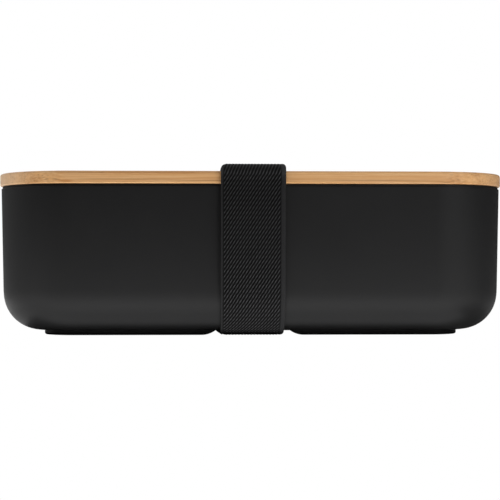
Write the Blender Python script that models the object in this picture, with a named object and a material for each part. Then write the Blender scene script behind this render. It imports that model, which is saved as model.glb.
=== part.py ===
"""Bento lunch box: a black tub with foot rails, a bamboo lid with a seal, a divider and an elastic strap.

Frame: +X along the box, -Y to the front, +Z up, in metres. The origin is on the table, under the
middle of the box. An "inset" is a distance in from the lid's outline, the same all the way round, so
the lid, the plug under it, its seal and the tub all share one rounded plan shape.
"""
import math

import bmesh
import bpy
from mathutils import Vector

MM = 0.001
GAP = 0.3 * MM  # air between pieces that touch
CORNER_STEPS = 9  # facets of each rounded corner in plan

# Outline and heights of the closed box
LENGTH = 195.0 * MM
DEPTH = 125.0 * MM
CORNER_RADIUS = 29.3 * MM
FOOT_HEIGHT = 1.8 * MM
FLANGE_Z = 56.93 * MM  # underside of the lid's visible edge
TOP_Z = 61.73 * MM

# Tub
WALL = 2.0 * MM
FLOOR_THICKNESS = 3.0 * MM
RIM_INSET = 0.5 * MM  # the lid overhangs the rim by this much
LOW_INSET = 1.25 * MM  # the walls taper in to here at the top of the bottom radius
BOTTOM_RADIUS = 14.4 * MM
BOTTOM_STEPS = 7
RIM_CHAMFER = 0.4 * MM

# Foot rails, let into the underside, with a gap in the middle for the strap
RAIL_INSET = 17.1 * MM
RAIL_WIDTH = 8.0 * MM
RAIL_RECESS = 1.0 * MM
RAIL_CHAMFER = 0.5 * MM
RAIL_END_X = 19.75 * MM  # where a rail's end leaves the table
RAIL_END_RADIUS = 9.3 * MM
RAIL_END_STEPS = 4

# Lid: strips of bamboo glued edge to edge, milled as one board
STRIP_COUNT = 7
TOP_ROUND = 0.9 * MM
UNDER_ROUND = 0.5 * MM
EDGE_STEPS = 3
PLUG_DEPTH = 5.0 * MM
PLUG_INSET = RIM_INSET + WALL + 1.2 * MM
PLUG_CHAMFER = 0.6 * MM
GROOVE_DEPTH = 1.6 * MM
GROOVE_HEIGHT = 2.2 * MM
GROOVE_Z = FLANGE_Z - 3.6 * MM  # lower side of the seal's groove
LIP_INSET = 2.9 * MM
LIP_THICKNESS = 0.5 * MM

# Divider, and the ribs that hold its ends
DIVIDER_X = 20.0 * MM
DIVIDER_THICKNESS = 2.0 * MM
DIVIDER_TOP_Z = 50.5 * MM
DIVIDER_TOP_CORNER = 3.0 * MM
NOTCH_HALF_WIDTH = 11.0 * MM
NOTCH_DEPTH = 5.0 * MM
RIB_WIDTH = 1.6 * MM
RIB_FACE_Y = 57.7 * MM
RIB_TOP_Z = 49.5 * MM

# Strap: one length of elastic webbing, its ends lapped and sewn low on the back
STRAP_X = -0.5 * MM
STRAP_WIDTH = 24.0 * MM
STRAP_THICKNESS = 1.4 * MM
LAP_TOP_Z = 37.0 * MM
LAP_BOTTOM_Z = 19.0 * MM
LAP_RAMP = 5.0 * MM
RAMP_STEPS = 4
STITCH_ROWS_Z = (23.5 * MM, 32.5 * MM)
STITCH_HALF_LENGTH = 10.4 * MM
STITCH_ZIGZAG = 0.8 * MM
STITCH_COUNT = 12
THREAD_RADIUS = 0.2 * MM


def clear_scene():
    for obj in list(bpy.data.objects):
        bpy.data.objects.remove(obj, do_unlink=True)


def make_material(name, color, roughness):
    material = bpy.data.materials.new(name)
    material.use_nodes = True
    shader = material.node_tree.nodes["Principled BSDF"]
    shader.inputs["Base Color"].default_value = (*color, 1.0)
    shader.inputs["Roughness"].default_value = roughness
    shader.inputs["Metallic"].default_value = 0.0
    return material


def add_object(name, bm, material, smooth_angle=35.0):
    """Turn a bmesh into an object with outward faces, smooth except at its sharp edges."""
    bmesh.ops.recalc_face_normals(bm, faces=bm.faces)
    mesh = bpy.data.meshes.new(name)
    bm.to_mesh(mesh)
    bm.free()
    mesh.shade_smooth()
    mesh.set_sharp_from_angle(angle=math.radians(smooth_angle))
    if material:
        mesh.materials.append(material)
    obj = bpy.data.objects.new(name, mesh)
    bpy.context.scene.collection.objects.link(obj)
    return obj


def put_origin(obj, point):
    """Move an object's origin to a point without moving its surface."""
    offset = Vector(point)
    for vertex in obj.data.vertices:
        vertex.co -= offset
    obj.location = offset


def apply_tool(obj, tool, operation):
    tool.hide_render = True
    tool.display_type = "WIRE"
    modifier = obj.modifiers.new(tool.name, "BOOLEAN")
    modifier.operation = operation
    modifier.object = tool


def arc(center, radius, start, end, steps):
    """Points on a circle from one angle to another, in degrees."""
    angles = [math.radians(start + (end - start) * i / steps) for i in range(steps + 1)]
    return [(center[0] + radius * math.cos(a), center[1] + radius * math.sin(a)) for a in angles]


def plan_outline(inset, z):
    """The box's rounded rectangle, moved in by an inset, as a ring of points at height z."""
    radius = CORNER_RADIUS - inset
    center_x = LENGTH / 2 - CORNER_RADIUS
    center_y = DEPTH / 2 - CORNER_RADIUS
    ring = []
    for quarter, (side_x, side_y) in enumerate(((1, 1), (-1, 1), (-1, -1), (1, -1))):
        center = (side_x * center_x, side_y * center_y)
        points = arc(center, radius, 90 * quarter, 90 * quarter + 90, CORNER_STEPS)
        ring += [Vector((x, y, z)) for x, y in points]
    return ring


def loft(rings, closed=False):
    """Skin a row of equal rings; an open row gets a cap on each end, a closed one meets itself."""
    bm = bmesh.new()
    rows = [[bm.verts.new(point) for point in ring] for ring in rings]
    pairs = list(zip(rows, rows[1:]))
    if closed:
        pairs.append((rows[-1], rows[0]))
    else:
        bm.faces.new(rows[0])
        bm.faces.new(rows[-1])
    for low, high in pairs:
        for i in range(len(low)):
            j = (i + 1) % len(low)
            bm.faces.new((low[i], low[j], high[j], high[i]))
    return bm


def extrude_outline(points, low_x, high_x):
    """A plate along X from an outline in Y and Z."""
    return loft([[Vector((x, y, z)) for y, z in points] for x in (low_x, high_x)])


def tub_inner_inset(z):
    """How far the tub's inner face lies in from the lid's outline, above the bottom radius."""
    low_z = FOOT_HEIGHT + BOTTOM_RADIUS
    share = (z - low_z) / (FLANGE_Z - low_z)
    return WALL + LOW_INSET + (RIM_INSET - LOW_INSET) * share


def tub_profile():
    """The tub's wall as (inset, z), from the middle of the underside over the rim to the floor."""
    center_inset = LOW_INSET + BOTTOM_RADIUS
    rim_z = FLANGE_Z - GAP
    rim_inner = RIM_INSET + WALL
    outer = arc((center_inset, FOOT_HEIGHT + BOTTOM_RADIUS), BOTTOM_RADIUS, 270, 180, BOTTOM_STEPS)
    rim = [
        (RIM_INSET, rim_z - RIM_CHAMFER),
        (RIM_INSET + RIM_CHAMFER, rim_z),
        (rim_inner - RIM_CHAMFER, rim_z),
        (rim_inner, rim_z - RIM_CHAMFER),
    ]
    floor_z = FOOT_HEIGHT + FLOOR_THICKNESS
    inner_radius = BOTTOM_RADIUS - WALL
    inner = arc((center_inset, floor_z + inner_radius), inner_radius, 180, 270, BOTTOM_STEPS)
    return outer + rim + inner


def rail_end_x(z):
    """Where a rail's end is at a height: an arc that leaves the table and curves up to the tub."""
    rise = min(z, FOOT_HEIGHT)
    return RAIL_END_X - math.sqrt(RAIL_END_RADIUS**2 - (RAIL_END_RADIUS - rise) ** 2)


def rail_ring(side, z, end_x, grow):
    """A rail's C shape in plan at one height; grow widens it on every side."""
    half_x = LENGTH / 2 - RAIL_INSET + grow
    half_y = DEPTH / 2 - RAIL_INSET + grow
    radius = CORNER_RADIUS - RAIL_INSET + grow
    width = RAIL_WIDTH + 2 * grow
    center = (half_x - radius, half_y - radius)
    front = [(end_x, half_y)] + arc(center, radius, 90, 0, CORNER_STEPS)
    back = arc(center, radius - width, 0, 90, CORNER_STEPS) + [(end_x, half_y - width)]
    outer = front + [(x, -y) for x, y in reversed(front)]
    inner = [(x, -y) for x, y in reversed(back)] + back
    return [Vector((side * x, y, z)) for x, y in outer + inner]


def make_rail(name, side, material):
    """One foot rail; its two ends curve up off the table beside the strap."""
    heights = [FOOT_HEIGHT * (i / RAIL_END_STEPS) ** 2 for i in range(RAIL_END_STEPS + 1)]
    heights.append(FOOT_HEIGHT + RAIL_RECESS - GAP)
    rings = [rail_ring(side, z, rail_end_x(z), -max(RAIL_CHAMFER - z, 0.0)) for z in heights]
    return add_object(name, loft(rings), material)


def make_rail_recess(name, side):
    """The cutter that lets a rail into the tub's underside."""
    end_x = rail_end_x(FOOT_HEIGHT) - GAP
    heights = (FOOT_HEIGHT / 2, FOOT_HEIGHT + RAIL_RECESS)
    return add_object(name, loft([rail_ring(side, z, end_x, GAP) for z in heights]), None)


def make_rib(name, side_x, side_y):
    """One of the four ribs whose pairs hold the divider's ends, its back buried in the wall."""
    near_x = DIVIDER_THICKNESS / 2 + GAP
    low_x, high_x = sorted(DIVIDER_X + side_x * offset for offset in (near_x, near_x + RIB_WIDTH))
    buried_top = DEPTH / 2 - RIM_INSET - 0.7 * WALL
    buried_low = DEPTH / 2 - LOW_INSET - 0.5 * WALL
    shoulder_z = FOOT_HEIGHT + BOTTOM_RADIUS
    foot_z = FOOT_HEIGHT + 0.6 * BOTTOM_RADIUS
    outline = [
        (RIB_FACE_Y, RIB_TOP_Z),
        (buried_top, RIB_TOP_Z),
        (buried_low, shoulder_z),
        (RIB_FACE_Y + WALL / 2, foot_z),
        (RIB_FACE_Y, foot_z),
    ]
    return add_object(name, extrude_outline([(side_y * y, z) for y, z in outline], low_x, high_x), None)


def make_tub(material):
    rings = [plan_outline(inset, z) for inset, z in tub_profile()]
    tub = add_object("container_body", loft(rings), material)
    for side, word in ((-1, "left"), (1, "right")):
        apply_tool(tub, make_rail_recess(f"recess_{word}", side), "DIFFERENCE")
    for side_x in (-1, 1):
        for side_y in (-1, 1):
            apply_tool(tub, make_rib(f"rib_{side_x}_{side_y}", side_x, side_y), "UNION")
    return tub


def lid_profile():
    """The board's edge as (inset, z), from the middle of its underside to the middle of its top."""
    plug_z = FLANGE_Z - PLUG_DEPTH
    groove_top = GROOVE_Z + GROOVE_HEIGHT
    plug = [
        (PLUG_INSET + PLUG_CHAMFER, plug_z),
        (PLUG_INSET, plug_z + PLUG_CHAMFER),
        (PLUG_INSET, GROOVE_Z),
        (PLUG_INSET + GROOVE_DEPTH, GROOVE_Z),
        (PLUG_INSET + GROOVE_DEPTH, groove_top),
        (PLUG_INSET, groove_top),
        (PLUG_INSET, FLANGE_Z),
    ]
    under = arc((UNDER_ROUND, FLANGE_Z + UNDER_ROUND), UNDER_ROUND, 270, 180, EDGE_STEPS)
    upper = arc((TOP_ROUND, TOP_Z - TOP_ROUND), TOP_ROUND, 180, 90, EDGE_STEPS)
    return plug + under + upper


def cut_slice(bm, y, keep_side):
    """Cut the board across at y, keep one side and close the cut."""
    cut = bmesh.ops.bisect_plane(
        bm,
        geom=bm.verts[:] + bm.edges[:] + bm.faces[:],
        plane_co=(0, y, 0),
        plane_no=(0, -keep_side, 0),
        clear_outer=True,
    )
    edges = [item for item in cut["geom_cut"] if isinstance(item, bmesh.types.BMEdge)]
    bmesh.ops.edgeloop_fill(bm, edges=edges)


def make_lid(material):
    """Saw the milled board into its strips; each has its own piece of the rim, plug and groove."""
    rings = [plan_outline(inset, z) for inset, z in lid_profile()]
    pitch = DEPTH / STRIP_COUNT
    strips = []
    for number in range(1, STRIP_COUNT + 1):
        bm = loft(rings)
        low_y = -DEPTH / 2 + (number - 1) * pitch
        if number > 1:
            cut_slice(bm, low_y + GAP / 2, 1)
        if number < STRIP_COUNT:
            cut_slice(bm, low_y + pitch - GAP / 2, -1)
        strips.append(add_object(f"lid_strip_{number}", bm, material))
    return strips


def make_seal(material):
    """A ring that sits in the plug's groove, with a lip that leans out towards the tub's wall."""
    back = PLUG_INSET + GROOVE_DEPTH - GAP
    face = PLUG_INSET - 2 * GAP
    low = GROOVE_Z + GAP
    high = GROOVE_Z + GROOVE_HEIGHT - GAP
    middle = (low + high) / 2
    section = [
        (back, low),
        (face, low),
        (LIP_INSET, middle),
        (LIP_INSET, middle + LIP_THICKNESS),
        (face, middle + LIP_THICKNESS / 2),
        (face, high),
        (back, high),
    ]
    return add_object("lid_seal", loft([plan_outline(i, z) for i, z in section], closed=True), material)


def divider_outline():
    """Half of the divider's outline in Y and Z, from the middle of its foot to its finger notch."""
    center_inset = LOW_INSET + BOTTOM_RADIUS
    inner_radius = BOTTOM_RADIUS - WALL
    floor_z = FOOT_HEIGHT + FLOOR_THICKNESS
    corner = (DEPTH / 2 - center_inset, floor_z + inner_radius)
    top_y = DEPTH / 2 - tub_inner_inset(DIVIDER_TOP_Z) - GAP
    top_corner = (top_y - DIVIDER_TOP_CORNER, DIVIDER_TOP_Z - DIVIDER_TOP_CORNER)
    bottom = arc(corner, inner_radius - GAP, 270, 360, BOTTOM_STEPS)
    top = arc(top_corner, DIVIDER_TOP_CORNER, 0, 90, EDGE_STEPS)
    notch = []
    for i in range(1, BOTTOM_STEPS + 1):
        share = i / BOTTOM_STEPS
        depth = NOTCH_DEPTH * (1 - math.cos(math.pi * share)) / 2
        notch.append((NOTCH_HALF_WIDTH * (1 - share), DIVIDER_TOP_Z - depth))
    return bottom + top + [(NOTCH_HALF_WIDTH, DIVIDER_TOP_Z)] + notch


def make_divider(material):
    half = divider_outline()
    outline = half + [(-y, z) for y, z in reversed(half[:-1])]
    half_x = DIVIDER_THICKNESS / 2
    return add_object("divider", extrude_outline(outline, DIVIDER_X - half_x, DIVIDER_X + half_x), material)


def cross(origin, a, b):
    return (a[0] - origin[0]) * (b[1] - origin[1]) - (a[1] - origin[1]) * (b[0] - origin[0])


def convex_hull(points):
    """The taut loop round a set of points, counter-clockwise."""
    def chain(ordered):
        hull = []
        for point in ordered:
            while len(hull) > 1 and cross(hull[-2], hull[-1], point) <= 0:
                hull.pop()
            hull.append(point)
        return hull[:-1]

    ordered = sorted(points)
    return chain(ordered) + chain(ordered[::-1])


def strap_loop():
    """The webbing's middle line round the closed box in Y and Z: a taut loop over its edges."""
    offset = GAP + STRAP_THICKNESS / 2
    edges = [
        (TOP_ROUND, TOP_Z - TOP_ROUND, TOP_ROUND, 4),
        (UNDER_ROUND, FLANGE_Z + UNDER_ROUND, UNDER_ROUND, 3),
        (LOW_INSET + BOTTOM_RADIUS, FOOT_HEIGHT + BOTTOM_RADIUS, BOTTOM_RADIUS, 10),
    ]
    points = []
    for inset, z, radius, steps in edges:
        for side in (-1, 1):
            full_turn = arc((side * (DEPTH / 2 - inset), z), radius + offset, 0, 360, 4 * steps)
            points += full_turn[:-1]
    return convex_hull([(round(y, 7), round(z, 7)) for y, z in points])


def back_line(z):
    """Y of the webbing's middle line on the box's straight back."""
    offset = GAP + STRAP_THICKNESS / 2
    low_z = FOOT_HEIGHT + BOTTOM_RADIUS
    share = (z - low_z) / (FLANGE_Z + UNDER_ROUND - low_z)
    return DEPTH / 2 - LOW_INSET + LOW_INSET * share + offset


def strap_path():
    """From the inner end up on the back, down, round the box and over itself to the outer end."""
    layer = STRAP_THICKNESS + GAP
    ramp_z = LAP_TOP_Z + GAP
    loop = strap_loop()[::-1]
    below_lap = [y > 0 and z < LAP_BOTTOM_Z for y, z in loop]
    first = max(range(len(loop)), key=lambda i: below_lap[i] * loop[i][1])
    inner_end = [(back_line(z), z) for z in (LAP_TOP_Z, LAP_BOTTOM_Z)]
    ramp = []
    for i in range(RAMP_STEPS + 1):
        share = i / RAMP_STEPS
        z = ramp_z + LAP_RAMP * (1 - share)
        ramp.append((back_line(z) + layer * (1 - math.cos(math.pi * share)) / 2, z))
    outer_end = [(back_line(LAP_BOTTOM_Z) + layer, LAP_BOTTOM_Z)]
    return inner_end + loop[first:] + loop[:first] + ramp + outer_end


def ribbon(path, width, thickness, center_x):
    """A flat band swept along a path in Y and Z, with its width along X."""
    rings = []
    for i, (y, z) in enumerate(path):
        before = path[max(i - 1, 0)]
        after = path[min(i + 1, len(path) - 1)]
        tangent = Vector((0, after[0] - before[0], after[1] - before[1])).normalized()
        normal = tangent.cross(Vector((1, 0, 0)))
        middle = Vector((center_x, y, z))
        across = Vector((width / 2, 0, 0))
        rings.append([
            middle + across * side + normal * (thickness / 2) * face
            for side, face in ((-1, -1), (1, -1), (1, 1), (-1, 1))
        ])
    return loft(rings)


def make_strap(material):
    return add_object("strap_band", ribbon(strap_path(), STRAP_WIDTH, STRAP_THICKNESS, STRAP_X), material)


def make_stitch_row(number, z, material):
    """A zigzag of thread across the lap, just proud of the webbing."""
    offset = 1.5 * STRAP_THICKNESS + 2 * GAP + THREAD_RADIUS
    rings = []
    for i in range(STITCH_COUNT + 1):
        x = STRAP_X + STITCH_HALF_LENGTH * (2 * i / STITCH_COUNT - 1)
        row_z = z + STITCH_ZIGZAG * (i % 2 - 0.5)
        y = back_line(row_z) + offset
        rings.append([Vector((x, y + dy, row_z + dz)) for dy, dz in arc((0, 0), THREAD_RADIUS, 0, 300, 5)])
    return add_object(f"strap_stitch_row_{number}", loft(rings), material)


def build():
    clear_scene()
    shell_black = make_material("matte_black_shell", (0.017, 0.017, 0.018), 0.55)
    rail_black = make_material("foot_rubber", (0.008, 0.008, 0.008), 0.45)
    bamboo = make_material("bamboo", (0.62, 0.36, 0.17), 0.5)
    silicone = make_material("seal_silicone", (0.72, 0.72, 0.70), 0.4)
    webbing = make_material("strap_elastic", (0.012, 0.012, 0.013), 0.85)
    thread = make_material("strap_thread", (0.02, 0.02, 0.02), 0.7)

    make_tub(shell_black)
    make_rail("foot_rail_left", -1, rail_black)
    make_rail("foot_rail_right", 1, rail_black)

    lid_origin = (0, 0, FLANGE_Z)
    for strip in make_lid(bamboo):
        put_origin(strip, lid_origin)
    put_origin(make_seal(silicone), lid_origin)
    put_origin(make_divider(shell_black), (DIVIDER_X, 0, FOOT_HEIGHT + FLOOR_THICKNESS))

    strap_origin = (STRAP_X, 0, (TOP_Z + FOOT_HEIGHT) / 2)
    put_origin(make_strap(webbing), strap_origin)
    for number, z in enumerate(STITCH_ROWS_Z, start=1):
        put_origin(make_stitch_row(number, z, thread), strap_origin)


build()
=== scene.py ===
import math

import bmesh
import bpy
import numpy as np
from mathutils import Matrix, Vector


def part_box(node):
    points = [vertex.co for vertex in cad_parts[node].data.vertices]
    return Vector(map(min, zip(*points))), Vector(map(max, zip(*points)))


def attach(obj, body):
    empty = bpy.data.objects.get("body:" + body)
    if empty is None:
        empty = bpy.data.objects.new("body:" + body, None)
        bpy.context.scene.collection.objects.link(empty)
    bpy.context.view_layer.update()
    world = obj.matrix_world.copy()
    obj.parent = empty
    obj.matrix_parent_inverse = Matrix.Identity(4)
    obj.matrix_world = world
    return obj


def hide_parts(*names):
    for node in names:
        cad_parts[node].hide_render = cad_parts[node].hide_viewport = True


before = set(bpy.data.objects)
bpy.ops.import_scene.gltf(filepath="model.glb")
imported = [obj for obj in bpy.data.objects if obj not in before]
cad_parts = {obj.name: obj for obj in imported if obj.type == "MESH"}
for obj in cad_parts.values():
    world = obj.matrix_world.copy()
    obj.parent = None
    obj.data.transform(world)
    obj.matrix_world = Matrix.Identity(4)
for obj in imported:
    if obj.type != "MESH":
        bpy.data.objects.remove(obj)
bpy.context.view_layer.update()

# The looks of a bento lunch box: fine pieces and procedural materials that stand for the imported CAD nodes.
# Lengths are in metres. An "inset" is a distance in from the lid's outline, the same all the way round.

MM = 0.001
CORNER_STEPS = 28  # facets of each rounded corner in plan
SHARP_ANGLE = 35.0  # edges that turn by more than this, in degrees, stay crisp


def node_span(*names):
    """Lowest and highest corner over several CAD nodes."""
    boxes = [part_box(name) for name in names]
    low = Vector([min(box[0][i] for box in boxes) for i in range(3)])
    high = Vector([max(box[1][i] for box in boxes) for i in range(3)])
    return low, high


# Sizes read from the frame
STRIP_NODES = sorted(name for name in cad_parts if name.startswith("lid_strip_"))
LID_LOW, LID_HIGH = node_span(*STRIP_NODES)
TUB_LOW, TUB_HIGH = node_span("container_body")
RAIL_HIGH = node_span("foot_rail_left", "foot_rail_right")[1]
STRAP_LOW, STRAP_HIGH = node_span("strap_band")
SEAL_LOW, SEAL_HIGH = node_span("lid_seal")
DIVIDER_LOW, DIVIDER_HIGH = node_span("divider")
HALF_X = LID_HIGH.x
HALF_Y = LID_HIGH.y
TOP_Z = LID_HIGH.z
PLUG_Z = LID_LOW.z
RIM_Z = TUB_HIGH.z
RIM_INSET = HALF_X - TUB_HIGH.x
FOOT_HEIGHT = TUB_LOW.z
RAIL_INSET = HALF_X - RAIL_HIGH.x

# Closed box
GAP = 0.3 * MM  # air between pieces that touch
CORNER_RADIUS = 29.3 * MM
FLANGE_Z = RIM_Z + GAP  # underside of the lid's visible edge

# Tub
WALL = 2.0 * MM
FLOOR_THICKNESS = 3.0 * MM
LOW_INSET = 1.25 * MM  # the walls taper in to here at the top of the bottom radius
BOTTOM_RADIUS = 14.4 * MM
UNDERSIDE_RUN = 4.0 * MM  # how far the outer profile goes on under the tub
PROFILE_STEP = 1.1 * MM  # the outer profile is resampled at this step
PROFILE_SPAN = 5.0 * MM  # and averaged over this span
NECK_HEIGHT = 0.5 * MM  # the wall steps in by NECK_DEPTH this far below the rim
NECK_DEPTH = 0.4 * MM
NECK_RISE = 0.25 * MM  # how far the rim reaches up into the gap under the lid
NECK_ROUND = 0.2 * MM
GATE_X = 40.0 * MM
# The gate mark's radius and height, in millimetres, round its small hollow core
GATE_PROFILE = ((0.2, -1.0), (3.2, -1.0), (3.0, 0.0), (2.6, 0.3), (1.2, 0.3), (0.9, 0.1), (0.2, 0.1))

# Foot rails
RAIL_WIDTH = 8.0 * MM
RAIL_RECESS = 1.0 * MM
RAIL_ROUND = 0.7 * MM
RAIL_END_X = 19.75 * MM
RAIL_END_RADIUS = 9.3 * MM
RECESS_CLEARANCE = 0.1 * MM

# Ribs that hold the divider's ends
RIB_WIDTH = 1.6 * MM
RIB_FACE_Y = 57.7 * MM
RIB_TOP_Z = 49.5 * MM
RIB_FOOT_Z = FOOT_HEIGHT + 0.6 * BOTTOM_RADIUS
RIB_ROUND = 0.35 * MM

# Lid and seal
TOP_ROUND = 0.9 * MM
UNDER_ROUND = 0.5 * MM
UNDER_LIFT = 0.15 * MM  # the board's edge starts this far above the CAD one, clear of the rim
PLUG_INSET = RIM_INSET + WALL + 1.2 * MM
PLUG_ROUND = 0.6 * MM
GROOVE_DEPTH = 1.6 * MM
SEAM_BEVEL = 0.1 * MM
GLUE_LINE = 0.03 * MM
BEAD_ROUND = 0.3 * MM
LIP_ROUND = 0.25 * MM

# Divider
NOTCH_HALF_WIDTH = 11.0 * MM
NOTCH_DEPTH = 5.0 * MM
NOTCH_STEPS = 24
DIVIDER_CORNER = 3.0 * MM
DIVIDER_ROUND = 0.6 * MM


# ---------------------------------------------------------------- mesh helpers


def arc(center, radius, start, end, steps):
    """Points on a circle from one angle to another, in degrees, as an array of pairs."""
    angles = np.radians(np.linspace(start, end, steps + 1))
    return np.column_stack((center[0] + radius * np.cos(angles), center[1] + radius * np.sin(angles)))


def plan_ring(inset, z):
    """The box's rounded rectangle, moved in by an inset, as a ring of points at height z."""
    center_x = HALF_X - CORNER_RADIUS
    center_y = HALF_Y - CORNER_RADIUS
    quarters = []
    for quarter, (side_x, side_y) in enumerate(((1, 1), (-1, 1), (-1, -1), (1, -1))):
        center = (side_x * center_x, side_y * center_y)
        start = 90 * quarter
        quarters.append(arc(center, CORNER_RADIUS - inset, start, start + 90, CORNER_STEPS))
    ring = np.vstack(quarters)
    return np.column_stack((ring, np.full(len(ring), z)))


def loft_faces(rows, columns, closed):
    """Quads that skin rows of equal rings; a closed loft meets itself, an open one gets two caps."""
    corner = np.arange(rows * columns).reshape(rows, columns)
    if closed:
        corner = np.vstack((corner, corner[:1]))
    here = corner[:-1]
    above = corner[1:]
    quads = np.stack((here, np.roll(here, -1, 1), np.roll(above, -1, 1), above), axis=-1)
    faces = quads.reshape(-1, 4).tolist()
    if not closed:
        faces.append(corner[0][::-1].tolist())
        faces.append(corner[-1].tolist())
    return faces


def add_object(name, mesh, sharp_angle=SHARP_ANGLE):
    mesh.shade_smooth()
    mesh.set_sharp_from_angle(angle=math.radians(sharp_angle))
    obj = bpy.data.objects.new(name, mesh)
    bpy.context.scene.collection.objects.link(obj)
    return obj


def face_outward(mesh):
    bm = bmesh.new()
    bm.from_mesh(mesh)
    bmesh.ops.recalc_face_normals(bm, faces=bm.faces)
    bm.to_mesh(mesh)
    bm.free()


def loft(name, rings, closed=False, sharp_angle=SHARP_ANGLE):
    """An object skinned over rings of points; an open one is capped, a closed one meets itself."""
    points = np.vstack(rings)
    mesh = bpy.data.meshes.new(name)
    mesh.from_pydata(points.tolist(), [], loft_faces(len(rings), len(rings[0]), closed))
    face_outward(mesh)
    return add_object(name, mesh, sharp_angle)


def plate(name, outline, low_x, high_x):
    """A plate along X from an outline in Y and Z."""
    outline = np.asarray(outline)
    rings = [np.column_stack((np.full(len(outline), x), outline)) for x in (low_x, high_x)]
    return loft(name, rings)


def lengths_along(points):
    """Distance of each point from the first one, along the line through them."""
    return np.concatenate(([0], np.cumsum(np.hypot(*np.diff(points, axis=0).T))))


def smooth(values, span, step):
    """A running mean over a span of a curve sampled at equal steps."""
    count = max(3, int(round(span / step)) | 1)
    padded = np.pad(values, (count // 2, count // 2), mode="edge")
    return np.convolve(padded, np.ones(count) / count, mode="valid")


def bell(at, center, width):
    """A smooth hump of height 1 round a centre."""
    return np.exp(-((at - center) / width) ** 2)


def ease(value, low, high):
    """0 below low, 1 above high, and smooth between."""
    share = np.clip((value - low) / (high - low), 0, 1)
    return share * share * (3 - 2 * share)


def bake_modifiers(obj):
    """Swap an object's mesh for the one its modifiers make."""
    graph = bpy.context.evaluated_depsgraph_get()
    made = bpy.data.meshes.new_from_object(obj.evaluated_get(graph), depsgraph=graph)
    obj.modifiers.clear()
    obj.data = made
    return obj


def round_edges(obj, width, segments=3, angle=40.0):
    bevel = obj.modifiers.new("round_edges", "BEVEL")
    bevel.width = width
    bevel.segments = segments
    bevel.limit_method = "ANGLE"
    bevel.angle_limit = math.radians(angle)
    return bake_modifiers(obj)


def cut_or_join(obj, tool, operation):
    """Apply a Boolean with a tool object, then remove the tool."""
    boolean = obj.modifiers.new("tool", "BOOLEAN")
    boolean.operation = operation
    boolean.object = tool
    bake_modifiers(obj)
    bpy.data.objects.remove(tool, do_unlink=True)


def even_shading(obj, sharp_angle=SHARP_ANGLE):
    obj.data.shade_smooth()
    obj.data.set_sharp_from_angle(angle=math.radians(sharp_angle))
    weighted = obj.modifiers.new("even_shading", "WEIGHTED_NORMAL")
    weighted.keep_sharp = True
    return bake_modifiers(obj)


def finish_piece(obj, material, body, slot, *nodes):
    """Give a piece its material and its body, and hide the CAD nodes it stands for; the slot argument is not
    used.
    """
    obj.data.materials.clear()
    obj.data.materials.append(material)
    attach(obj, body)
    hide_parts(*nodes)
    return obj


# ---------------------------------------------------------------- tub and feet


def tub_inner_y(z):
    """Y of the tub's inner face on the long walls, above the bottom radius."""
    low_z = FOOT_HEIGHT + BOTTOM_RADIUS
    share = (z - low_z) / (FLANGE_Z - low_z)
    return HALF_Y - (WALL + LOW_INSET + (RIM_INSET - LOW_INSET) * share)


def even_out(points, spacing, span):
    """Resample a profile at equal steps and average it over a span, so that its curves flow together."""
    length = lengths_along(points)
    at = np.linspace(0, length[-1], int(length[-1] / spacing) + 1)
    step = at[1] - at[0]
    flow = np.column_stack([smooth(np.interp(at, length, points[:, i]), span, step) for i in (0, 1)])
    flow[0] = points[0]
    flow[-1] = points[-1]
    return flow


def tub_profile():
    """The tub's wall as (inset, z), from its underside up over the rim and down to its floor."""
    center_inset = LOW_INSET + BOTTOM_RADIUS
    shoulder_z = FOOT_HEIGHT + BOTTOM_RADIUS
    floor_z = FOOT_HEIGHT + FLOOR_THICKNESS
    inner_radius = BOTTOM_RADIUS - WALL
    neck_z = RIM_Z - NECK_HEIGHT
    neck_inset = RIM_INSET + NECK_DEPTH
    outer = np.vstack((
        [(center_inset + UNDERSIDE_RUN, FOOT_HEIGHT)],
        arc((center_inset, shoulder_z), BOTTOM_RADIUS, 270, 180, 60),
        [(RIM_INSET, neck_z - NECK_ROUND)],
    ))
    outer = even_out(outer, PROFILE_STEP, PROFILE_SPAN)
    neck = arc((RIM_INSET + NECK_ROUND, neck_z - NECK_ROUND), NECK_ROUND, 180, 90, 4)
    rim_z = RIM_Z + NECK_RISE
    rim_outer = arc((neck_inset + NECK_ROUND, rim_z - NECK_ROUND), NECK_ROUND, 180, 90, 4)
    rim_inner = arc((RIM_INSET + WALL - NECK_ROUND, rim_z - NECK_ROUND), NECK_ROUND, 90, 0, 4)
    inner = arc((center_inset, floor_z + inner_radius), inner_radius, 180, 270, 20)
    return np.vstack((outer, neck[1:], [(neck_inset, neck_z)], rim_outer, rim_inner, inner))


def rail_end_x(z):
    """Where a rail's end is at a height: an arc that leaves the table and curves up to the tub."""
    rise = min(z, FOOT_HEIGHT)
    return RAIL_END_X - math.sqrt(RAIL_END_RADIUS**2 - (RAIL_END_RADIUS - rise) ** 2)


def rail_ring(side, z, end_x, grow):
    """A rail's C shape in plan at one height; grow widens it on every side."""
    half_x = HALF_X - RAIL_INSET + grow
    half_y = HALF_Y - RAIL_INSET + grow
    radius = CORNER_RADIUS - RAIL_INSET + grow
    width = RAIL_WIDTH + 2 * grow
    center = (half_x - radius, half_y - radius)
    front = np.vstack(([(end_x, half_y)], arc(center, radius, 90, 0, CORNER_STEPS)))
    back = np.vstack((arc(center, radius - width, 0, 90, CORNER_STEPS), [(end_x, half_y - width)]))
    mirror = np.array((1, -1))
    outline = np.vstack((front, front[::-1] * mirror, back[::-1] * mirror, back))
    return np.column_stack((side * outline[:, 0], outline[:, 1], np.full(len(outline), z)))


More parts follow.
